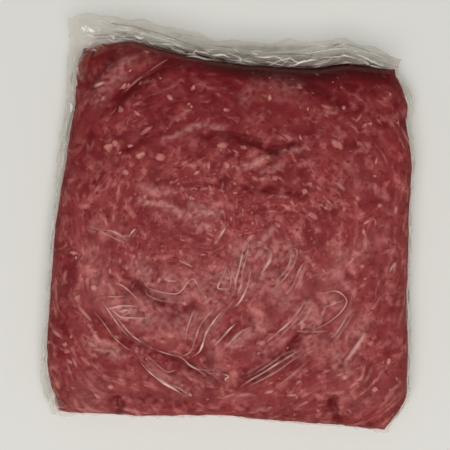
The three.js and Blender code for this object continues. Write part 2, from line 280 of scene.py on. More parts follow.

# Soft sheens, painted milky on the film over the mince as highlights: how white, half width in mm, line
SHEENS = [
    (0.6, 1.8, [(273, 229), (265, 238), (257, 249)]),
    (0.5, 2.2, [(336, 271), (343, 280), (352, 290)]),
    (0.9, 2.2, [(163, 205), (172, 209), (184, 215), (196, 214), (212, 211)]),
    (0.8, 1.8, [(193, 223), (205, 226), (211, 228)]),
    (0.7, 1.6, [(140, 200), (150, 203), (161, 204)]),
    (0.8, 1.5, [(165, 139), (178, 134), (190, 128), (204, 125), (222, 129)]),
    (0.9, 1.5, [(238, 167), (250, 166), (259, 161), (268, 156)]),
    (0.6, 1.5, [(263, 172), (273, 169), (282, 163)]),
    (0.6, 1.6, [(274, 155), (288, 150), (304, 148)]),
    (0.5, 2.4, [(140, 186), (152, 190), (166, 192)]),
    (0.5, 2.6, [(192, 204), (204, 209), (216, 216)]),
    (0.6, 3.2, [(122, 310), (136, 312), (150, 316)]),
    (0.5, 4.5, [(168, 276), (184, 277), (196, 284)]),
    (0.5, 3.6, [(224, 268), (226, 282)]),
    (0.6, 3.2, [(308, 304), (318, 316), (312, 328)]),
    (0.45, 3.6, [(328, 298), (336, 306)]),
    (0.5, 3.2, [(350, 336), (360, 330), (368, 320)]),
    (0.5, 3.2, [(232, 346), (246, 336), (258, 330)]),
    (0.45, 3.0, [(88, 344), (104, 350), (120, 358)]),
    (0.45, 3.0, [(150, 368), (166, 378), (184, 390)]),
    (0.5, 3.0, [(256, 374), (276, 362), (296, 352)]),
    (0.5, 2.2, [(92, 228), (108, 234), (124, 238)]),
    (0.4, 3.5, [(336, 250), (346, 262)]),
    (0.4, 4.0, [(96, 100), (106, 84), (120, 74)]),
    (0.35, 4.0, [(244, 100), (256, 84)]),
    (0.36, 13, [(140, 306), (186, 296), (232, 280), (270, 284)]),
    (0.4, 9, [(140, 316), (172, 326), (190, 312)]),
    (0.42, 9, [(262, 276), (284, 298), (312, 316)]),
    (0.38, 8, [(300, 346), (330, 352), (352, 372)]),
    (0.4, 7, [(90, 252), (96, 276), (112, 300)]),
    (0.3, 6, [(334, 276), (350, 258), (364, 250)]),
    (0.3, 6, [(206, 304), (214, 330), (216, 350)]),
    (0.4, 6, [(256, 246), (270, 256), (290, 252)]),
    (0.35, 6, [(140, 298), (154, 302), (168, 304)]),
    (0.35, 5, [(186, 372), (204, 376), (220, 372)]),
    (0.35, 5, [(262, 350), (274, 344), (288, 340)]),
    (0.6, 6, [(140, 270), (146, 284), (150, 300)]),
    (0.55, 6, [(238, 250), (262, 252), (288, 250)]),
    (0.35, 6, [(256, 318), (262, 326), (270, 334)]),
    (0.4, 6, [(98, 76), (110, 68), (124, 60)]),
    (0.3, 6, [(278, 84), (292, 86)]),
    (0.1, 9, [(80, 386), (150, 392), (230, 394), (300, 398), (380, 400)]),
    (0.7, 1.4, [(252, 236), (245, 248), (242, 268), (239, 292)]),
    (0.8, 1.4, [(264, 248), (270, 254), (267, 264), (262, 275)]),
    (0.7, 1.3, [(292, 249), (293, 260), (286, 272), (274, 286)]),
    (0.6, 1.3, [(308, 263), (302, 273), (299, 288)]),
    (0.7, 1.5, [(365, 336), (356, 350), (346, 363)]),
    (0.5, 1.4, [(351, 311), (341, 324), (334, 338)]),
    (0.6, 1.6, [(226, 346), (238, 338), (251, 331)]),
    (0.8, 1.2, [(118, 308), (128, 310), (139, 309)]),
    (0.8, 1.2, [(120, 317), (134, 320), (148, 318)]),
    (0.7, 1.6, [(163, 276), (174, 281), (184, 276)]),
    (0.6, 1.4, [(92, 346), (104, 352), (117, 362)]),
    (0.6, 1.4, [(94, 339), (108, 344), (119, 353)]),
    (0.6, 1.4, [(222, 268), (226, 278), (224, 287)]),
    (0.6, 1.3, [(231, 266), (232, 280), (228, 290)]),
    (0.6, 1.3, [(104, 229), (116, 234), (128, 237)]),
    (0.6, 1.2, [(216, 242), (220, 234), (224, 226)]),
]

# Patches of painted shade, where the mince is darker: how dark, half width in mm, line
PAINTED_SHADE_PATCHES = [
    (0.9, 6, [(66, 396), (96, 399), (124, 401), (168, 398)]),
    (0.6, 6, [(62, 300), (64, 336), (68, 376)]),
    (0.5, 5, [(392, 300), (394, 336), (386, 376)]),
    (0.5, 5, [(250, 378), (268, 372), (290, 364)]),
    (0.9, 3.6, [(333, 408), (337, 416), (341, 424)]),
    (0.55, 9, [(196, 92), (236, 102), (270, 108)]),
    (0.65, 7, [(300, 84), (334, 84), (372, 88)]),
    (0.45, 8, [(94, 130), (96, 156), (98, 180)]),
    (0.4, 8, [(104, 250), (140, 234), (178, 228)]),
    (0.45, 6, [(68, 204), (67, 228)]),
    (0.45, 6, [(356, 322), (384, 326)]),
    (0.45, 6, [(380, 150), (384, 162)]),
    (0.5, 6, [(374, 392), (390, 398)]),
    (0.4, 6, [(366, 202), (388, 206)]),
    (0.5, 7, [(114, 370), (142, 374), (170, 372)]),
    (0.4, 5, [(256, 300), (268, 303)]),
    (0.3, 7, [(200, 398), (250, 400), (300, 402)]),
    (0.8, 2.4, [(320, 424), (326, 414), (332, 400)]),
    (0.5, 5, [(300, 140), (318, 132), (334, 136)]),
    (0.6, 7, [(190, 74), (216, 80), (244, 88), (268, 86)]),
    (0.5, 5, [(150, 129), (168, 134), (186, 132), (204, 136)]),
    (0.9, 2.0, [(206, 133), (224, 138), (244, 143), (262, 148), (274, 154)]),
    (0.6, 1.6, [(150, 128), (162, 133), (176, 135)]),
    (0.6, 2.0, [(250, 172), (262, 168), (274, 162)]),
    (0.6, 2.0, [(212, 186), (224, 184), (238, 187), (252, 192)]),
    (0.5, 1.6, [(134, 282), (142, 292), (152, 300), (166, 305)]),
    (0.7, 1.6, [(160, 316), (174, 316), (186, 310), (194, 302)]),
    (0.4, 1.8, [(176, 358), (194, 362), (212, 370), (222, 376)]),
    (0.6, 1.8, [(246, 372), (264, 360), (280, 350)]),
    (0.7, 1.8, [(256, 344), (270, 332), (284, 318), (296, 304)]),
    (0.5, 1.8, [(222, 340), (236, 326), (250, 314)]),
]

# The largest flecks of fat: place in the picture, length and width in mm, turn from across in degrees
LARGE_FLECKS = [
    (222, 145, 6.5, 3.6, -15), (337, 143, 4.2, 7.4, 0), (140, 155, 5.5, 3.6, 10),
    (160, 157, 6.4, 5.0, -10), (108, 147, 4.0, 5.2, -20), (115, 143, 2.8, 3.6, -20),
    (125, 172, 3.4, 3.0, 0), (208, 166, 5.0, 2.2, 10), (227, 165, 4.6, 3.0, -30),
    (73, 253, 2.4, 5.4, -10), (312, 215, 3.0, 7.4, 20), (170, 98, 4.8, 3.2, -20),
    (128, 84, 3.2, 2.6, 0), (146, 130, 7.4, 2.2, 24), (216, 243, 3.4, 3.0, 0),
    (251, 237, 4.6, 2.4, 25), (362, 214, 2.0, 5.0, -25), (368, 222, 1.8, 5.0, 20),
    (364, 232, 2.0, 4.4, 0), (102, 97, 3.0, 2.4, 10), (137, 113, 4.2, 1.8, 20),
    (300, 85, 3.4, 4.4, 10), (270, 97, 2.0, 3.6, 10), (345, 107, 2.4, 3.0, 0),
    (359, 118, 1.6, 5.2, 0), (305, 191, 4.4, 3.6, 0), (380, 205, 3.0, 2.6, 0),
    (66, 352, 2.4, 4.0, 15), (64, 345, 2.0, 3.4, 0), (68, 362, 2.0, 4.0, -20),
    (96, 397, 5.0, 2.4, 15), (110, 388, 3.6, 2.6, 0), (270, 392, 6.0, 2.2, 10),
    (292, 396, 5.4, 2.0, -10), (345, 378, 3.0, 4.0, 0), (390, 362, 3.4, 3.0, 0),
    (184, 304, 3.0, 3.0, 45), (206, 297, 3.0, 2.4, 0), (303, 325, 6.0, 3.4, -5),
    (262, 343, 6.0, 3.0, -30), (230, 246, 2.6, 2.2, 0), (214, 341, 3.0, 2.4, 0),
]
FLECKS = 150  # in all, with the large ones
FLECKED = (-112, 112), (-122, 108)  # across and along, where the small ones are
FLECK_GROWTH = 1.3  # of a large fleck past the size that shows, since its rim fades into the lean
FLECK_HALF, FLECK_SUNK = 0.28, 0.08  # half its thickness, and how far its middle is below the face


def picture_place(px, py, scale=FACE_SCALE):
    """The place on the bag, in mm, of a point of the picture."""
    return (LENS[0] + (px - MIDDLE) * scale, LENS[1] + (MIDDLE - py) * scale)


def placed(strokes, scale):
    """Strokes of the picture, with the marks of their lines at places on the bag."""
    return [
        (share, half, [picture_place(*p, scale) for p in marks])
        for share, half, marks in strokes
    ]


# Shape of the bag

def lerp(a, b, share):
    return a + (b - a) * share


def smoothstep(low, high, x):
    t = np.clip((x - low) / (high - low), 0, 1)
    return t * t * (3 - 2 * t)


def fading(low, high, x):
    """From 1 below low to 0 above high."""
    return 1 - smoothstep(low, high, x)


def bell(x, y, place, reach):
    """A round bell, which is 1 over its place and has all but gone at twice its reach."""
    return np.exp(-(((x - place[0]) ** 2 + (y - place[1]) ** 2) / reach**2))


def along(values, share):
    """The values of a list of equal steps at shares from 0 to 1, on a smooth curve through them."""
    values = np.asarray(values, dtype=float)
    last = len(values) - 1
    place = np.clip(share, 0, 1) * last
    low = np.floor(place).astype(int)
    w = place - low
    before = values[np.maximum(low - 1, 0)]
    start = values[low]
    end = values[np.minimum(low + 1, last)]
    after = values[np.minimum(low + 2, last)]
    leave, arrive = (end - before) / 2, (after - start) / 2
    cubic = (2 * start - 2 * end + leave + arrive) * w**3
    square = (3 * end - 3 * start - 2 * leave - arrive) * w**2
    return cubic + square + leave * w + start


def plan(s, t):
    """A point of the filled part from above, for shares from left to right and from near to far."""
    def corner(axis):
        near = lerp(NEAR_LEFT[axis], NEAR_RIGHT[axis], s)
        far = lerp(FAR_LEFT[axis], FAR_RIGHT[axis], s)
        return lerp(near, far, t)

    x = corner(0) - (1 - s) * along(BULGE["left"], t) + s * along(BULGE["right"], t)
    y = corner(1) - (1 - t) * along(BULGE["near"], s) + t * along(BULGE["far"], s)
    return x, y


def rise(distance, reach, sharpness):
    """The share of its full height that the mince has at a distance from a seam."""
    left = 1 - np.minimum(distance / reach, 1)
    return (1 - left**ROUNDNESS) ** (1 / sharpness)


def to_mouth(t):
    """How far short of the mouth's seam a share along the bag is, in mm."""
    return (1 - t) * BAG_LENGTH


def fullness(s, t, reach, far_reach, sharpness):
    """How full the bag is, from 0 on the seams to 1 inside."""
    left = rise(s * BAG_WIDTH, reach["left"], sharpness)
    right = rise((1 - s) * BAG_WIDTH, reach["right"], sharpness)
    near = rise(t * BAG_LENGTH, reach["near"], sharpness)
    far = rise(to_mouth(t), far_reach, sharpness * FAR_SLOPE)
    return left * right * near * far


def fold_height(fold, x, y):
    """The height that one fold adds: a bell across its bowed line, faded out past both ends."""
    (x0, y0), (x1, y1), bow, half, height = fold
    run_x, run_y = x1 - x0, y1 - y0
    length = math.hypot(run_x, run_y)
    share = ((x - x0) * run_x + (y - y0) * run_y) / length**2
    clamped = np.clip(share, 0, 1)
    aside = (run_x * (y - y0) - run_y * (x - x0)) / length - bow * 4 * clamped * (1 - clamped)
    fade = smoothstep(-0.12, 0.2, share) * fading(0.8, 1.12, share)
    return height * np.exp(-((aside / half) ** 2)) * fade


def relief(x, y):
    """What the folds, hollows and swells add to the face."""
    total = sum(fold_height(fold, x, y) for fold in FOLDS + FINE_FOLDS)
    for place, reach, height in HOLLOWS:
        total = total + height * bell(x, y, place, reach)
    for across, length, phase, height in SWELLS:
        total = total + height * np.sin(2 * np.pi * (x / across + y / length) + phase)
    return total


def cockle(wave, distance):
    """An uneven wave of the sealed film, from how far along the seam it is."""
    length, height = wave
    turn = 2 * np.pi * distance / length
    return height * (np.sin(turn) + SECOND_COCKLE[1] * np.sin(turn / SECOND_COCKLE[0] + 1))


def stations(count, before, after):
    """Rows or columns: the share of the filled part, and how far out of it, from -1 to 1."""
    i = np.arange(-before, count + after + 1)
    even = np.clip(i / count, 0, 1)
    share = lerp(even, (1 - np.cos(np.pi * even)) / 2, EDGE_CROWDING)
    out = np.where(i < 0, i / max(before, 1), np.where(i > count, (i - count) / max(after, 1), 0))
    return share, out


def sheet(s, t, out_x, out_y):
    """The sheet between the webs: level inside the seams, and hanging or standing past them."""
    x, y = plan(s, t)
    z = np.full_like(x, SEAM_HEIGHT)
    side = np.abs(out_x)
    shown = np.where(out_x < 0, along(MARGIN["left"], t), along(MARGIN["right"], t))
    fall = side * (cockle(SIDE_COCKLE, y) - shown * 0.5)
    x, z = x + out_x * shown, z + fall

    tail = np.maximum(out_y, 0)
    shown = along(MARGIN["far"], s)
    stood = np.sqrt(TAIL_LENGTH**2 - shown**2)
    wave = cockle(TAIL_COCKLE, x)
    y = y + tail * (shown + 0.6 * wave)
    z = z + tail**1.3 * stood + tail * wave

    hem = np.minimum(out_y, 0)
    shown = along(MARGIN["near"], s)
    return np.stack([x, y + hem * shown, z + hem * 2 * shown], axis=-1)


def facing(grid):
    """The unit normal at each point of a grid of points."""
    normal = np.cross(np.gradient(grid, axis=0), np.gradient(grid, axis=1))
    return normal / np.maximum(np.linalg.norm(normal, axis=-1, keepdims=True), 1e-9)


def swollen(grid, by):
    """A grid of points moved out along its own normals, each by its number of mm."""
    return grid + facing(grid) * by[..., None]


def noise_at(points, size, seed=0):
    """Smooth noise, from -1 to 1, whose lumps are about size mm across."""
    flat = points.reshape(-1, 3) / size + seed * 17.3
    values = [noise.noise(p) for p in flat.tolist()]
    return np.array(values).reshape(points.shape[:-1])


def crumples_at(points, waves):
    """Sharp creases, as crumpled film has, from waves of a height and a width in mm and a seed each."""
    return sum(height * (1 - 4 * np.abs(noise_at(points, size, seed))) for height, size, seed in waves)


def warped(points, by, size, seed):
    """The x and y of each point, moved by up to so many mm in smooth lumps of a size."""
    return [points[..., axis] + by * noise_at(points, size, seed + axis) for axis in (0, 1)]


def lumps_at(points):
    """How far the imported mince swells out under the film, in mm."""
    return 0.45 * noise_at(points, 13, 1) + 0.22 * noise_at(points, 5.6, 2)


def smooth_line(points, step):
    """Points a step apart along a smooth curve through the given ones, all in mm."""
    points = np.array(points, dtype=float)
    lengths = np.linalg.norm(np.diff(points, axis=0), axis=1)
    count = max(6, int(lengths.sum() / step))
    share = np.linspace(0, 1, count + 1)
    return np.stack([along(points[:, axis], share) for axis in (0, 1)], axis=-1)


STROKE_STEP = 1.0  # between the points of a stroke's line
STROKE_END = 3  # reaches from its line at which a stroke ends


def strokes_at(points, strokes, wider):
    """How much of a stroke each point lies on, from 0 to 1, in a bell across its line."""
    x, y = points[..., 0].ravel(), points[..., 1].ravel()
    total = np.zeros_like(x)
    for share, half, marks in placed(strokes, FACE_SCALE):
        line = smooth_line(marks, STROKE_STEP)
        reach = half + wider
        low, high = line.min(axis=0) - STROKE_END * reach, line.max(axis=0) + STROKE_END * reach
        near = (x > low[0]) & (x < high[0]) & (y > low[1]) & (y < high[1])
        gap = np.hypot(x[near, None] - line[:, 0], y[near, None] - line[:, 1]).min(axis=1)
        total[near] = np.maximum(total[near], share * np.exp(-((gap / reach) ** 2)))
    return total.reshape(points.shape[:-1])


# Meshes

def closed_web_pair(name, columns, rows, coarser):
    """A closed flat box: a fine upper web at z = 1 and a coarser lower one at z = 0, joined all round.

    Its corners are at whole numbers, which are the rows and columns of a grid of points."""
    bm = bmesh.new()
    for level, cut in ((1, 1), (0, coarser)):
        across, length = columns // cut, rows // cut
        made = bmesh.ops.create_grid(bm, x_segments=across, y_segments=length, size=0.5)["verts"]
        bmesh.ops.scale(bm, vec=(columns, rows, 1), verts=made)
        bmesh.ops.translate(bm, vec=(columns / 2, rows / 2, level), verts=made)
        if level == 0:
            faces = {face for vert in made for face in vert.link_faces}
            bmesh.ops.reverse_faces(bm, faces=list(faces))
            rim = [e for e in bm.edges if e.is_boundary and e.verts[0].co.z < 0.5]
            bmesh.ops.subdivide_edges(bm, edges=rim, cuts=coarser - 1)
    rims = [e for e in bm.edges if e.is_boundary]
    bmesh.ops.bridge_loops(bm, edges=rims)
    bmesh.ops.recalc_face_normals(bm, faces=bm.faces)
    return place_mesh(name, bm)


def place_mesh(name, bm):
    """A new object, at the origin, from a bmesh."""
    mesh = bpy.data.meshes.new(name)
    bm.to_mesh(mesh)
    bm.free()
    mesh.polygons.foreach_set("use_smooth", np.ones(len(mesh.polygons), dtype=bool))
    piece = bpy.data.objects.new(name, mesh)
    bpy.context.scene.collection.objects.link(piece)
    return piece


def lay_webs(piece, upper, lower):
    """Put the corners of a box from closed_web_pair on two grids of points, in mm.

    It gives back the column and row of each corner, whether it is on the upper one, and its place."""
    co = np.empty(len(piece.data.vertices) * 3)
    piece.data.vertices.foreach_get("co", co)
    i, j, level = np.rint(co.reshape(-1, 3)).astype(int).T
    top = level == 1
    corners = np.where(top[:, None], upper[i, j], lower[i, j])
    piece.data.vertices.foreach_set("co", (corners * MM).ravel())
    piece.data.update()
    return i, j, top, corners


def mark(piece, name, values):
    """Keep a number or a vector on each corner, for the material to read."""
    values = np.asarray(values, dtype=np.float32)
    kind, key = ("FLOAT", "value") if values.ndim == 1 else ("FLOAT_VECTOR", "vector")
    attribute = piece.data.attributes.new(name, kind, "POINT")
    attribute.data.foreach_set(key, values.ravel())


def web_points(columns, sides, rows, ends):
    """Each point's shares across and along a web, and how far out of it that way, as four grids.

    The sides and ends are how many columns and rows are out of it, before and after."""
    s, out_x = stations(columns, *sides)
    t, out_y = stations(rows, *ends)
    return *np.meshgrid(s, t, indexing="ij"), *np.meshgrid(out_x, out_y, indexing="ij")


def face_and_base(s, t, middle):
    """The upper and lower skins of the filled part over its middle sheet, before the finer relief.

    With them comes the share of that relief which each point takes, from 0 on the seams to 1 inside."""
    x, y = middle[..., 0], middle[..., 1]
    full = fullness(s, t, SHOULDER, along(FAR_SHOULDER, s), FACE_SHARPNESS)
    fall = CROWN_FALL * (1 - np.sin(np.pi * s) * np.sin(np.pi * t))
    upper, lower = middle.copy(), middle.copy()
    upper[..., 2] += full * (CROWN_HEIGHT - SEAM_HEIGHT - fall + relief(x, y))
    below = fullness(s, t, UNDER, UNDER["near"], UNDER_SHARPNESS)
    lower[..., 2] -= below * (SEAM_HEIGHT + UNDERBITE)
    return upper, lower, np.clip(full * 1.5, 0, 1)


FILM_GAP = 0.45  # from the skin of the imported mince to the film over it
FILM_HALF = 0.12  # of the two webs where they are sealed together
FILM_EDGE = 0.03  # the same at their cut edge
MINCE_INSET = 0.2  # of the mince's edge from the seam
MINCE_EDGE = 0.05  # half the thickness of that edge

# Where the mince's edge is ragged and draws back from the seam: place, reach, how far
RAGGED = [((-94, 96), 22, 2), ((106, 92), 14, 0.7), ((-106, -112), 10, 0.3), ((0, 104), 40, 0.3)]
RAGGED_ELSEWHERE = 0.4  # how far in any other place
RAGGED_IN = 9  # how far in from the seam it shows
ROUNDED, ROUNDED_REACH = 1.2, 5  # of the mince's corner at the far left
MIDDLE_TO_SEAM = 110  # in round figures


def ragged_sheet(s, t):
    """The middle sheet of the mince, drawn back from the seam where the mince's edge is ragged."""
    middle = sheet(s, t, 0 * s, 0 * t)
    x, y = middle[..., 0], middle[..., 1]
    toward = -middle * (1, 1, 0)
    from_seam = np.minimum(np.minimum(s, 1 - s), np.minimum(t, 1 - t)) * SPAN
    from_corner = np.hypot(s, 1 - t) * SPAN
    ragged = RAGGED_ELSEWHERE + sum(size * bell(x, y, place, reach) for place, reach, size in RAGGED)
    bites = np.clip(0.35 + noise_at(middle, 7, 31) + 0.5 * noise_at(middle, 3, 32), 0, 1)
    rounded = ROUNDED * np.exp(-((from_corner / ROUNDED_REACH) ** 2))
    inset = MINCE_INSET + rounded + ragged * bites * np.exp(-((from_seam / RAGGED_IN) ** 2))
    return middle + toward * (inset / MIDDLE_TO_SEAM)[..., None]


MINCE_COLUMNS, MINCE_ROWS = 264, 282
GROOVE_DEPTH, FURROW_DEPTH = 0.12, 0.8  # between strands, and under a crease of the film
FOLD_WIDER = 1.1  # how much wider than a crease its furrow and the lift of the film are
STRAND_WIDTH = 4.1


def make_mince():
    """The block of mince: strands pressed flat by the film, with grooves between them."""
    piece = closed_web_pair("mince_block", MINCE_COLUMNS, MINCE_ROWS, 3)
    s, t, _, _ = web_points(MINCE_COLUMNS, (0, 0), MINCE_ROWS, (0, 0))
    middle = ragged_sheet(s, t)
    upper, lower, strength = face_and_base(s, t, middle)
    furrow = FURROW_DEPTH * strokes_at(upper, CREASES_AND_HIGHLIGHTS, FOLD_WIDER)
    fine = lumps_at(upper) - GROOVE_DEPTH * strand_grooves(upper) - furrow
    upper = swollen(upper, strength * fine)
    under_lumps = np.abs(noise_at(lower, 6, 5)) * 0.5
    lower[..., 2] = np.maximum(lower[..., 2] + FILM_GAP, FILM_GAP + under_lumps)
    rim = (s <= 0) | (s >= 1) | (t <= 0) | (t >= 1)
    lower[rim] = middle[rim] - (0, 0, MINCE_EDGE)
    upper[rim] = middle[rim] + (0, 0, MINCE_EDGE)
    i, j, _, corners = lay_webs(piece, upper, lower)
    mark(piece, "swirl", swirl_at(corners))
    # The painted shade of the mince
    mark(piece, "deep", painted_shade_of_mince(s, t, upper)[i, j])
    return piece


DEEP_FOLD = -2.4  # a fold of this rise counts whole


def sunk_at(points):
    """How far each point is down in a fold or in a patch of painted shade on the face, from 0 to 1."""
    x, y = points[..., 0], points[..., 1]
    folded = sum(np.minimum(fold_height(fold, x, y), 0) for fold in FOLDS + FINE_FOLDS) / DEEP_FOLD
    uneven = 0.85 + 1.1 * noise_at(points, 4.5, 51) + 0.5 * noise_at(points, 2, 52)
    return np.clip((0.7 * folded + 0.5 * strokes_at(points, PAINTED_SHADE_PATCHES, 0)) * uneven, 0, 1)


def painted_shade_of_mince(s, t, points):
    """How much painted shade the mince has, from 0 to 1: in its folds and patches, beside creases, and
    on the slope to the mouth.
    """
    # Painted shade on the slope down to the mouth, which faces away from the light
    slope = smoothstep(0.12, 0.5, s) * (1 - 0.45 * smoothstep(0.92, 1, s)) * fading(2, 26, to_mouth(t))
    # Darker over the far half of the face
    far_part = 0.3 * smoothstep(10, 100, points[..., 1])
    # A painted shadow beside each crease
    beside_creases = 0.35 * strokes_at(points, CREASES_AND_HIGHLIGHTS, 1.3)
    folded = np.minimum(sunk_at(points) + far_part + beside_creases, 0.66)
    return np.clip(np.maximum(slope, folded), 0, 1)


def swirl_at(points):
    """Where the mince's streaks lie, which run round the middle of the bag as it was pressed flat.

    They are 4 mm across and drawn out to about three times that, well away from the middle."""
    x, y = warped(points, 11, 34, 21)
    y = y + 8
    radius = np.hypot(x, y) + 1e-6
    return np.stack([radius / 4, x / radius * 9, y / radius * 9], axis=-1) * MM


def strand_grooves(points):
    """How deep in a groove between strands each point is, from 0 to 1.

    A mincer's plate leaves strands of about 4 mm, which lie in short bundles that turn every way."""
    turn = 2.6 * noise_at(points, 26, 7)
    x, y = warped(points, 3.2, 9, 8)
    across = np.cos(turn) * x + np.sin(turn) * y
    return np.abs(np.cos(np.pi * across / STRAND_WIDTH)) ** 3


FILM_COLUMNS, FILM_SIDE = 230, 6
FILM_ROWS, FILM_HEM, FILM_TAIL = 240, 3, 39
FILM_LIFT = 0.45  # of the film along a crease
FILM_HAZE = 0.17  # how milky two sealed webs are, as a share of the light that they scatter
SHEEN_HAZE = 0.63  # the same of a painted sheen on the face
STAIN_HAZE, EDGE_STAIN_HAZE = 0.92, 0.3  # of film with juice in it, past the seam and short of it
SHADE_HAZE = 0.9  # of the film just past it, where the shade of the mince is painted on it


def make_film():
    """The bag: two webs of clear film, tight on the mince and sealed to each other past it."""
    columns = FILM_COLUMNS + 2 * FILM_SIDE
    rows = FILM_ROWS + FILM_HEM + FILM_TAIL
    piece = closed_web_pair("film_bag", columns, rows, 2)
    s, t, out_x, out_y = web_points(FILM_COLUMNS, (FILM_SIDE,) * 2, FILM_ROWS, (FILM_HEM, FILM_TAIL))
    out = np.maximum(np.abs(out_x), np.abs(out_y))
    middle = crumpled(sheet(s, t, out_x, out_y), out, out_y)
    upper, lower, strength = face_and_base(s, t, middle)
    lift = 0.5 * lumps_at(upper) + FILM_LIFT * strokes_at(upper, CREASES_AND_HIGHLIGHTS, FOLD_WIDER)
    upper = swollen(upper, FILM_HALF + strength * (FILM_GAP - FILM_HALF + lift))
    lower = np.where((out == 0)[..., None], lower, middle - facing(middle) * FILM_HALF)
    lower[..., 2] = np.maximum(lower[..., 2], 0.05 * noise_at(lower, 9, 6) + 0.05)
    edge = out == 1
    thick = facing(middle)[edge] * FILM_EDGE
    upper[edge], lower[edge] = middle[edge] + thick, middle[edge] - thick

    # What its material reads
    loose = np.clip(out * 4, 0, 1)
    steeper = np.where(out_y > 0, np.minimum(15 / np.maximum(along(MARGIN["far"], s), 6), 1.6), 1)
    slack_haze = FILM_HAZE * steeper * (0.9 + 0.6 * noise_at(middle, 9, 15))
    haze_and_sheen = lerp(painted_face_sheen(upper), slack_haze, loose)
    # Juice seeped into the film at the mouth, and painted shade on the film just past it
    seeped, shaded = mouth_stain_and_shade(s, t, out_y, middle)
    stained = np.where(out_y > 0, STAIN_HAZE, EDGE_STAIN_HAZE) * seeped
    haze_and_sheen = np.maximum(haze_and_sheen, np.maximum(stained, SHADE_HAZE * shaded))
    i, j, top, _ = lay_webs(piece, upper, lower)
    mark(piece, "stain_and_shade", np.maximum(seeped, shaded)[i, j])
    mark(piece, "slack", loose[i, j])
    mark(piece, "haze_and_sheen", np.where(top, haze_and_sheen[i, j], loose[i, j] * FILM_HAZE))
    return piece


def painted_face_sheen(points):
    """How much painted sheen the film on the mince has: soft streaks, and faint clouds of painted
    reflection on its near half.
    """
    sheen = strokes_at(points, SHEENS, 0.4) * np.clip(0.6 + 1.1 * noise_at(points, 2.4, 16), 0, 1)
    sheen *= 1 - 0.85 * np.minimum(1.3 * sunk_at(points), 1)
    clouds = 0.10 * np.clip(noise_at(points, 30, 17) - 0.05, 0, 1) * fading(-60, 40, points[..., 1])
    return SHEEN_HAZE * sheen + clouds


def mouth_stain_and_shade(s, t, out_y, middle):
    """How much juice has seeped into the film at the mouth, and how much painted shade the film past it
    has.
    """
    seep = 0.05 + 0.15 * np.clip(0.35 + 1.6 * noise_at(middle * (1, 0, 0), 8, 44), 0, 1)
    seep += 0.2 * np.exp(-(((s - 0.47) / 0.1) ** 2))
    seeped = smoothstep(0.1, 0.22, s) * fading(0.4 * seep, seep, out_y) * fading(1, 7, to_mouth(t))
    seeped *= 1 - 0.6 * smoothstep(0.93, 1, s)
    middle_part = smoothstep(0.25, 0.4, s) * fading(0.86, 0.97, s)
    return seeped, 0.6 * middle_part * (out_y > 0) * fading(0.3, 0.62, out_y)


def crumpled(middle, out, out_y):
    """The sealed film with the crumples that its tail and margins are full of."""
    loose = np.clip(out * 3, 0, 1)
    where = loose > 0
    points = middle[where]
    side = crumples_at(points, [(0.8, 15, 11), (0.55, 7, 12), (0.3, 3.6, 13)])
    tail = np.maximum(out_y[where], 0)
    drawn_out = np.stack([points[:, 0] / 2.4, tail * TAIL_LENGTH, 0 * tail], axis=-1)
    fine = crumples_at(drawn_out, [(0.9, 4.4, 14), (0.5, 2.3, 18)])
    smoother = 0.55 + 0.3 * smoothstep(-10, 40, points[:, 0])
    gathered = 1 - smoother * smoothstep(0.3, 0.55, tail) - 0.12 * smoothstep(0.7, 1, tail)
    broad = crumples_at(points, [(0.5, 15, 11)]) * (1 - 0.6 * smoothstep(0.6, 1, tail))
    heave = np.zeros_like(loose)
    heave[where] = lerp(side, broad + gathered * fine, smoothstep(0, 0.1, tail))
    return swollen(middle, heave * loose)


def surface_of(piece):
    """A tree for finding places on a finished piece."""
    corners = [v.co for v in piece.data.vertices]
    faces = [tuple(p.vertices) for p in piece.data.polygons]
    return BVHTree.FromPolygons(corners, faces)


def from_above(tree, x, y):
    """The place and normal of a surface under a point that is given in mm, or None."""
    place, normal, _, _ = tree.ray_cast(Vector((x * MM, y * MM, 0.2)), Vector((0, 0, -1)))
    return (place, normal) if place is not None else None


CREASE_WIDTH = 1.3  # of a ridge, to the width that is given for its crease
CREASE_STEP = 1.1  # along a ridge
CRINKLES = 230  # fine short creases all over the face, painted pale as glints
CRINKLED = (-108, 108), (-118, 96)  # across and along, where their middles are
TAIL_CRINKLES, SIDE_CRINKLES = 190, 110
ROD_SIDES = 8


def fine_crinkles():
    """Short fine creases all over the face, painted pale as glints, most of them lying round the middle
    of the bag.
    """
    dice = random.Random(23)
    crinkles = []
    while len(crinkles) < CRINKLES:
        x, y = (dice.uniform(*span) for span in CRINKLED)
        turn = math.atan2(y, x) + math.pi / 2 + dice.gauss(0, 0.7)
        length = 2.2 + 5 * dice.random() ** 2
        run = Vector((math.cos(turn), math.sin(turn))) * (length / 2)
        bow = Vector((-run.y, run.x)) * dice.uniform(-0.35, 0.35)
        ends = (Vector((x, y)) - run, Vector((x, y)) + bow, Vector((x, y)) + run)
        crinkles.append((dice.uniform(0.1, 0.38), dice.uniform(0.28, 0.5), [tuple(end) for end in ends]))
    return crinkles


def past_seam(s, t, out_x, out_y):
    """The place from above, in mm, of one point of the sealed film."""
    return tuple(sheet(*(np.array([float(part)]) for part in (s, t, out_x, out_y)))[0, :2])


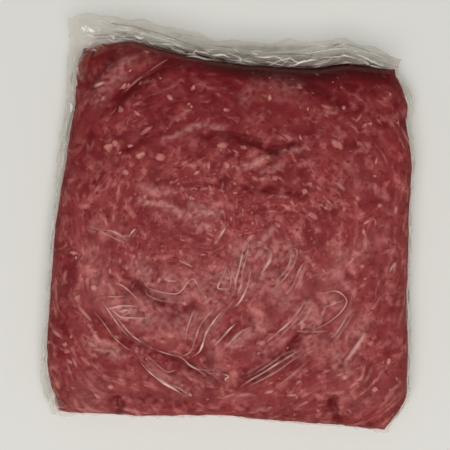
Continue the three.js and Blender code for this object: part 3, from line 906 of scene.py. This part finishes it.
def slack_crinkles():
    """Fine wrinkles of the slack film, most painted pale as glints and some dark as reflections, which
    run along its edges and crowd beside the mince.
    """
    dice = random.Random(37)
    wrinkles = []
    for _ in range(TAIL_CRINKLES):
        s, out = dice.uniform(0.01, 0.97), 0.03 + 0.9 * dice.random() ** 2.8
        reach = (2 + 7 * dice.random() ** 1.5) / MOUTH_SPAN
        lean = dice.gauss(0, 0.10)
        marks = [(s - reach, out - lean), (s, out + dice.gauss(0, 0.03)), (s + reach, out + lean)]
        paler = dice.uniform(0.2, 0.85) if dice.random() < 0.62 else -dice.uniform(0.2, 0.5)
        wrinkles.append((paler, dice.uniform(0.22, 0.42), [past_seam(a, 1, 0, b) for a, b in marks]))
    for _ in range(SIDE_CRINKLES):
        side, t = dice.choice((-1, 1)), dice.uniform(0.03, 0.97)
        reach, out = (1.5 + 5 * dice.random()) / SPAN, dice.uniform(0.2, 0.8)
        marks = [(t - reach, out), (t, out + dice.gauss(0, 0.15)), (t + reach, out + dice.gauss(0, 0.1))]
        places = [past_seam(side > 0, a, side * b, 0) for a, b in marks]
        paler = dice.uniform(0.2, 0.8) if dice.random() < 0.7 else -dice.uniform(0.2, 0.4)
        wrinkles.append((paler, dice.uniform(0.22, 0.38), places))
    return wrinkles


def upright_rod(steps):
    """A closed rod of radius 1 from z = -0.5 to z = 0.5, in level steps."""
    bm = bmesh.new()
    bmesh.ops.create_cone(bm, cap_ends=True, segments=ROD_SIDES, radius1=1, radius2=1, depth=1)
    upright = [e for e in bm.edges if e.verts[0].co.z * e.verts[1].co.z < 0]
    bmesh.ops.subdivide_edges(bm, edges=upright, cuts=steps - 1)
    return bm


def make_creases(film):
    """Standing creases of the film: narrow closed ridges, pale from the fold and painted highlights, a
    few dark as painted reflections.
    """
    tree = surface_of(film)
    creases = bmesh.new()
    on_mince = placed(CREASES_AND_HIGHLIGHTS, FACE_SCALE) + fine_crinkles()
    past_mince = placed(SLACK_CREASES_AND_GLINTS, SLACK_SCALE) + slack_crinkles()
    for number, (whiteness, half, marks) in enumerate(on_mince + past_mince):
        line = smooth_line(marks, CREASE_STEP)
        steps = len(line) - 1
        ahead = np.gradient(line, axis=0)
        hits = [from_above(tree, x, y) for x, y in line]
        if None in hits:
            continue
        rod = upright_rod(steps)
        white, dark, free = (rod.verts.layers.float.new(name) for name in ("white", "dark", "free"))
        for vert in rod.verts:
            n = round((vert.co.z + 0.5) * steps)
            place, normal = hits[n]
            side = Vector((-ahead[n][1], ahead[n][0], 0)).normalized()
            taper = math.sin(math.pi * min(max(n / steps, 0.03), 0.97)) ** 0.5
            wander = 1 + 0.4 * noise.noise((line[n][0] / 4, line[n][1] / 4, half))
            wide = vert.co.x * half * CREASE_WIDTH * taper * wander
            high = vert.co.y * half * taper * (0.8 if vert.co.y > 0 else 0.3)
            # The painted highlight is brighter along some stretches than others
            gleam = 0.95 + 0.9 * noise.noise((line[n][0] / 6, line[n][1] / 6, number))
            vert[white] = abs(whiteness) * taper * min(max(gleam, 0.25), 1.3) * max(vert.co.y, 0) ** 0.5
            vert[dark] = float(whiteness < 0)
            vert[free] = float(number >= len(on_mince))
            vert.co = place + side * (wide * MM) + normal * ((high - 0.03) * MM)
        bmesh.ops.recalc_face_normals(rod, faces=rod.faces)
        laid = bpy.data.meshes.new("crease")
        rod.to_mesh(laid)
        rod.free()
        creases.from_mesh(laid)
        bpy.data.meshes.remove(laid)
    return place_mesh("film_creases_with_glints", creases)


# Pools of juice under the film: their middle in the picture, reach in mm, depth
POOLS = [((95, 55), (9, 9), 1.15), ((85, 68), (6, 10), 1.05), ((57, 402), (8, 4), 1.1)]

# The shares across and along the bag that each corner's juice lies between
JUICE_PIECES = [("meat_juice", (0, 0.16), (0.80, 1)), ("meat_juice_near", (0, 0.12), (0, 0.08))]
JUICE_STEPS = 60
JUICE_BELOW = 0.9  # how far under the face of the mince its base is
JUICE_LOW, JUICE_HIGH = -0.6, 0.32  # how far over that face its own face is, where dry and at most
POOL_RISE, POOL_FLOOR = 1.9, -0.9  # of a pool 1 deep, before its face is kept between those


def make_juice():
    """Dark red juice that the vacuum has drawn out of the mince, pooled at its corners."""
    pieces = []
    for name, *shares in JUICE_PIECES:
        piece = closed_web_pair(name, JUICE_STEPS, JUICE_STEPS, 3)
        s, t = np.meshgrid(*(np.linspace(*ends, JUICE_STEPS + 1) for ends in shares), indexing="ij")
        upper, _, strength = face_and_base(s, t, ragged_sheet(s, t))
        upper = swollen(upper, strength * lumps_at(upper))
        x, y = upper[..., 0], upper[..., 1]
        uneven = 0.35 * noise_at(upper, 5, 41)
        depth = np.full_like(x, JUICE_LOW)
        for centre, (across, length), most in POOLS:
            x0, y0 = picture_place(*centre, SLACK_SCALE)
            off = ((x - x0) / across) ** 2 + ((y - y0) / length) ** 2
            depth = np.maximum(depth, POOL_RISE * most * np.exp(-off) + POOL_FLOOR + uneven)
        face = swollen(upper, np.clip(depth, JUICE_LOW, JUICE_HIGH))
        from_seam = SPAN * np.minimum(s, np.where(t > 0.5, 1 - t, t)) + 1.6 * noise_at(upper, 3, 42)
        i, j, _, _ = lay_webs(piece, face, upper - (0, 0, JUICE_BELOW))
        mark(piece, "rim", fading(0.4, 3.4, from_seam)[i, j])
        pieces.append(piece)
    return pieces


def make_flecks(mince):
    """Flecks of fat set in the face of the mince: the large ones where they show, and many small."""
    tree = surface_of(mince)
    dice = random.Random(11)
    flecks = [
        (*picture_place(px, py), FLECK_GROWTH * length, FLECK_GROWTH * width, turn)
        for px, py, length, width, turn in LARGE_FLECKS
    ]
    while len(flecks) < FLECKS:
        x, y = (dice.uniform(*span) for span in FLECKED)
        length = 1.8 + 3.8 * dice.random() ** 2.2
        flecks.append((x, y, length, length * dice.uniform(0.3, 0.85), dice.uniform(-90, 90)))
    bm = bmesh.new()
    shade = bm.verts.layers.float.new("shade")
    middle = bm.verts.layers.float.new("middle")
    for x, y, length, width, turn in flecks:
        hit = from_above(tree, x, y)
        if hit is None:
            continue
        place, normal = hit
        made = bmesh.ops.create_icosphere(bm, subdivisions=2, radius=1)["verts"]
        tone = dice.random() ** 2
        for vert in made:
            swell = 1 + 0.6 * noise.noise(vert.co * 1.2 + Vector((x, y, 0)))
            vert.co *= swell
            vert[shade] = tone
            vert[middle] = max(vert.co.z, 0)
        size = Matrix.Diagonal((length / 2 * MM, width / 2 * MM, FLECK_HALF * MM, 1))
        lie = normal.to_track_quat("Z", "Y").to_matrix().to_4x4()
        spin = Matrix.Rotation(math.radians(turn), 4, "Z")
        sunk = Matrix.Translation(place - normal * FLECK_SUNK * MM)
        bmesh.ops.transform(bm, matrix=sunk @ lie @ spin @ size, verts=made)
    return place_mesh("fat_flecks", bm)


# Materials

def colour(hex_code):
    """A linear colour from an sRGB hex code."""
    parts = [int(hex_code[i:i + 2], 16) / 255 for i in (1, 3, 5)]
    linear = [c / 12.92 if c <= 0.04045 else ((c + 0.055) / 1.055) ** 2.4 for c in parts]
    return (*linear, 1)


def add_node(tree, kind, inputs=None, **settings):
    """A shader node with its settings.

    An input is a value, or one output of another node, or a node whose first output is meant."""
    node = tree.nodes.new("ShaderNode" + kind)
    for name, value in settings.items():
        setattr(node, name, value)
    for name, value in (inputs or {}).items():
        if isinstance(value, bpy.types.Node):
            value = value.outputs[0]
        if isinstance(value, bpy.types.NodeSocket):
            tree.links.new(value, node.inputs[name])
        else:
            node.inputs[name].default_value = value
    return node


def new_material(name):
    """An empty material, and the function that adds a node to it."""
    material = bpy.data.materials.new(name)
    material.use_nodes = True
    material.node_tree.nodes.clear()
    return material, partial(add_node, material.node_tree)


def lay_blotches(add, under, coats):
    """Soft blotches of other colours over a colour, one coat on another.

    Each coat says where it is read, the size of a blotch in mm, the shares of the noise at which it
    starts and is whole, how fine and how warped it is, and its colour."""
    for where, size, start, whole, detail, warp, shade in coats:
        source = add("TexNoise", {
            "Vector": where, "Scale": 1 / (size * MM), "Detail": detail, "Distortion": warp})
        mask = add("MapRange", {
            "Value": source, "From Min": start, "From Max": whole}, interpolation_type="SMOOTHSTEP")
        under = add("Mix", {0: mask, 6: under, 7: colour(shade)}, data_type="RGBA").outputs[2]
    return under


def raw_minced_beef():
    """Lean beef through a coarse mincer: dark wet red, mottled paler where fat is ground into it.

    The film is stuck down on it, so it has no gloss of its own."""
    material, add = new_material("raw_minced_beef")
    where = add("TexCoord").outputs["Object"]
    swirl = add("Attribute", attribute_name="swirl").outputs["Vector"]
    # The painted shade of the mince
    deep = add("Attribute", attribute_name="deep").outputs["Fac"]

    # Grains of the mince, each of its own tone, with darker gaps between them
    lean = lay_blotches(add, colour("#6E2125"), [(where, 18, 0.38, 0.62, 2, 0, "#852E30")])
    grains = add("TexVoronoi", {
        "Vector": swirl, "Scale": 0.7 / MM, "Smoothness": 0.8}, feature="SMOOTH_F1")
    tone = add("SeparateColor", {"Color": grains.outputs["Color"]})
    toned = add("MapRange", {"Value": tone.outputs["Green"], "To Max": 0.7})
    gaps = add("MapRange", {
        "Value": grains, "From Min": 0.35, "From Max": 0.85, "To Max": 0.3,
    }, interpolation_type="SMOOTHSTEP")
    for share, shade in ((toned, "#934443"), (gaps, "#561318")):
        lean = add("Mix", {0: share, 6: lean, 7: colour(shade)}, data_type="RGBA").outputs[2]
    lean = lay_blotches(add, lean, [
        (swirl, 1.4, 0.5, 0.86, 3, 0.3, "#A25351"),
        (where, 11, 0.48, 0.26, 3, 0.3, "#641D21"),
        (where, 8, 0.48, 0.80, 4, 0.2, "#BC6C66"),
        (swirl, 1.1, 0.54, 0.82, 3, 0.5, "#C67C74"),
        (where, 2.8, 0.48, 0.26, 3, 0.2, "#6E2125"),
    ])

    # Specks of fat in some of the grains, and the painted shade of the folds and of the slope to the
    # mouth
    spots = add("TexVoronoi", {
        "Vector": swirl, "Scale": 0.95 / MM, "Smoothness": 0.3}, feature="SMOOTH_F1")
    spot = add("MapRange", {
        "Value": spots, "From Min": 0.42, "From Max": 0.06}, interpolation_type="SMOOTHSTEP")
    some = add("SeparateColor", {"Color": spots.outputs["Color"]})
    chosen = add("MapRange", {
        "Value": some.outputs["Red"], "From Min": 0.74, "From Max": 1.0, "To Max": 0.8})
    specks = add("Math", {0: spot, 1: chosen}, operation="MULTIPLY")
    shade_share, darkest_shade_share = (
        add("MapRange", {"Value": deep, "From Min": start, "From Max": end, "To Max": most})
        for start, end, most in ((0, 0.6, 0.85), (0.55, 1, 0.9))
    )
    for share, shade in ((specks, "#CC9084"), (shade_share, "#64121A"), (darkest_shade_share, "#36080C")):
        lean = add("Mix", {0: share, 6: lean, 7: colour(shade)}, data_type="RGBA").outputs[2]

    grit = add("TexNoise", {"Vector": where, "Scale": 1 / (1.6 * MM), "Detail": 3.0})
    bump = add("Bump", {"Strength": 0.35, "Distance": 0.4 * MM, "Height": grit})
    shader = add("BsdfPrincipled", {
        "Base Color": lean, "Roughness": 0.5, "IOR": 1.4, "Specular IOR Level": 0.0, "Normal": bump})
    add("OutputMaterial", {"Surface": shader})
    return material


def beef_fat():
    """Hard beef fat: pinkish cream, matte, stained by the lean round it."""
    material, add = new_material("beef_fat")
    where = add("TexCoord").outputs["Object"]
    shade, middle = (
        add("Attribute", attribute_name=name).outputs["Fac"]
        for name in ("shade", "middle")
    )
    inner = add("MapRange", {
        "Value": middle, "From Min": 0.3, "From Max": 1.15}, interpolation_type="SMOOTHSTEP")
    fat = add("Mix", {
        0: shade, 6: colour("#AC6660"), 7: colour("#BE8674")}, data_type="RGBA").outputs[2]
    fat = lay_blotches(add, fat, [(where, 1.8, 0.45, 0.7, 2, 0, "#BE8072")])
    fat = add("Mix", {0: inner, 6: colour("#984648"), 7: fat}, data_type="RGBA").outputs[2]
    shader = add("BsdfPrincipled", {
        "Base Color": fat, "Roughness": 0.45, "IOR": 1.45, "Specular IOR Level": 0.1})
    add("OutputMaterial", {"Surface": shader})
    return material


def clear_pouch_film():
    """Clear nylon and polythene pouch film: see-through and glossy, milkier where two webs crumple.

    It is red and dull where juice has stained it, and where shade is painted on it just past the mouth."""
    material, add = new_material("clear_pouch_film")
    where = add("TexCoord").outputs["Object"]
    slack, stain_and_shade, overlay_share = (
        add("Attribute", attribute_name=name).outputs["Fac"]
        for name in ("slack", "stain_and_shade", "haze_and_sheen")
    )
    crinkle = add("TexNoise", {
        "Vector": where, "Scale": 1 / (3.0 * MM), "Detail": 4.0, "Distortion": 0.6})
    bump = add("Bump", {"Strength": 0.25, "Distance": 0.35 * MM, "Height": crinkle})

    # Clear film, with more gloss the steeper it is seen
    dull = add("MapRange", {"Value": slack, "To Min": 0.28, "To Max": 0.10})
    tint = add("Mix", {
        0: slack, 6: colour("#FFD0C6"), 7: colour("#FFFBF2")}, data_type="RGBA").outputs[2]
    gloss = add("BsdfGlossy", {"Color": tint, "Roughness": dull, "Normal": bump})
    tilt = add("LayerWeight", {"Blend": 0.5}).outputs["Facing"]
    steep = add("Math", {0: tilt, 1: 5}, operation="POWER")
    shine = add("MapRange", {"Value": steep, "To Min": 0.018, "To Max": 0.25})
    bare = add("MapRange", {"Value": stain_and_shade, "To Min": 1.0, "To Max": 0.02})
    glossy = add("Math", {0: shine, 1: bare}, operation="MULTIPLY")
    film = add("MixShader", {0: glossy, 1: add("BsdfTransparent"), 2: gloss})

    # What shows over it: milky film where slack, painted pink sheens on the mince, and dark red
    # where juice has stained it and where shade is painted just past the mouth
    overlay_colour = colour("#F0A69E")
    for share, shade in ((slack, "#C6BDA6"), (stain_and_shade, "#400A0E")):
        overlay_colour = add("Mix", {0: share, 6: overlay_colour, 7: colour(shade)}, data_type="RGBA").outputs[2]
    haze_and_sheen = add("BsdfPrincipled", {
        "Base Color": overlay_colour, "Roughness": 0.35, "Specular IOR Level": 0.0, "Normal": bump})
    both = add("MixShader", {0: overlay_share, 1: film, 2: haze_and_sheen})
    add("OutputMaterial", {"Surface": both})
    return material


def creased_film_with_glints():
    """Film folded on itself: a fine pale line, partly the fold's own whitening and partly a painted
    highlight.
    """
    material, add = new_material("creased_film_with_glints")
    white, dark, free = (
        add("Attribute", attribute_name=name).outputs["Fac"]
        for name in ("white", "dark", "free")
    )
    # Pink over the mince and whiter past it as painted highlights, and grey-brown as painted dark
    # reflections
    film = colour("#DC8E84")
    for share, shade in ((white, "#F4C4B8"), (free, "#EDEAE0"), (dark, "#6F695C")):
        film = add("Mix", {0: share, 6: film, 7: colour(shade)}, data_type="RGBA").outputs[2]
    pale = add("BsdfPrincipled", {"Base Color": film, "Roughness": 0.25})
    most = add("MapRange", {"Value": free, "To Min": 0.68, "To Max": 0.82})
    share = add("Math", {0: white, 1: most}, operation="MULTIPLY")
    both = add("MixShader", {0: share, 1: add("BsdfTransparent"), 2: pale})
    add("OutputMaterial", {"Surface": both})
    return material


def beef_juice():
    """Meat juice: deep red, wet and glossy, paler at its rim, where it is thin over the film."""
    material, add = new_material("beef_juice")
    where = add("TexCoord").outputs["Object"]
    juice = lay_blotches(add, colour("#620C0F"), [(where, 5, 0.42, 0.7, 3, 0, "#8A221C")])
    rim = add("Attribute", attribute_name="rim").outputs["Fac"]
    juice = add("Mix", {0: rim, 6: juice, 7: colour("#C07458")}, data_type="RGBA").outputs[2]
    shader = add("BsdfPrincipled", {"Base Color": juice, "Roughness": 0.12, "IOR": 1.35})
    add("OutputMaterial", {"Surface": shader})
    return material


def pale_tabletop():
    """A plain pale worktop, matte."""
    material, add = new_material("pale_tabletop")
    shader = add("BsdfPrincipled", {"Base Color": colour("#DCDBD5"), "Roughness": 0.7})
    add("OutputMaterial", {"Surface": shader})
    return material


# The pack

mince = make_mince()
film = make_film()
flecks = make_flecks(mince)
creases = make_creases(film)
juice, near_juice = make_juice()
pooled = beef_juice()

for piece, material, slot in (
    (mince, raw_minced_beef(), "minced_beef"),
    (flecks, beef_fat(), "beef_fat"),
    (juice, pooled, "meat_juice"),
    (near_juice, pooled, "meat_juice"),
    (film, clear_pouch_film(), "clear_film"),
    (creases, creased_film_with_glints(), "clear_film"),
):
    piece.data.materials.append(material)
    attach(piece, "root")
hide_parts(NODE)


# Stage

def make_floor():
    bm = bmesh.new()
    bmesh.ops.create_grid(bm, x_segments=1, y_segments=1, size=3)
    floor = place_mesh("floor", bm)
    floor.data.materials.append(pale_tabletop())


def add_softbox(name, place, aim, width, length, power, seen="both"):
    """A softbox at a place, turned to face another, in metres and watts.

    It can be seen in the gloss alone, or light the pack and show in no gloss."""
    lamp = bpy.data.lights.new(name, "AREA")
    lamp.shape = "RECTANGLE"
    lamp.size, lamp.size_y, lamp.energy = width, length, power
    holder = bpy.data.objects.new(name, lamp)
    holder.location = place
    holder.rotation_euler = (Vector(aim) - Vector(place)).to_track_quat("-Z", "Y").to_euler()
    holder.visible_glossy = seen != "light"
    holder.visible_diffuse = seen != "gloss"
    bpy.context.scene.collection.objects.link(holder)


def add_camera():
    """The lens looks straight down, and takes in 285 mm at the height of the seam."""
    height, taken_in = 0.95, 0.2853
    lens = bpy.data.cameras.new("camera")
    lens.angle = 2 * math.atan(taken_in / 2 / (height - SEAM_HEIGHT * MM))
    camera = bpy.data.objects.new("camera", lens)
    camera.location = (LENS[0] * MM, LENS[1] * MM, height)
    camera.rotation_euler = (0, 0, 0)
    bpy.context.scene.collection.objects.link(camera)
    bpy.context.scene.camera = camera


make_floor()
add_softbox("window", (0.0, -0.65, 2.4), (0, 0, 0), 2.2, 1.5, 58.5, "light")
add_softbox("haze_and_sheen", (0.0, -0.60, 1.3), (0.0, -0.60, 0), 2.2, 1.4, 2.5, "gloss")
for name, place in (
    ("glint_high", (-0.45, -0.75, 1.0)),
    ("glint_left", (-0.6, -1.0, 0.7)),
    ("glint_right", (0.5, -1.1, 0.6)),
):
    add_softbox(name, place, (0, 0, 0), 0.16, 0.10, 1.4, "gloss")
add_camera()

world = bpy.data.worlds.new("studio")
world.use_nodes = True
world.node_tree.nodes["Background"].inputs["Color"].default_value = colour("#E8E7E4")
world.node_tree.nodes["Background"].inputs["Strength"].default_value = 0.26
bpy.context.scene.world = world
bpy.context.scene.view_settings.view_transform = "Standard"
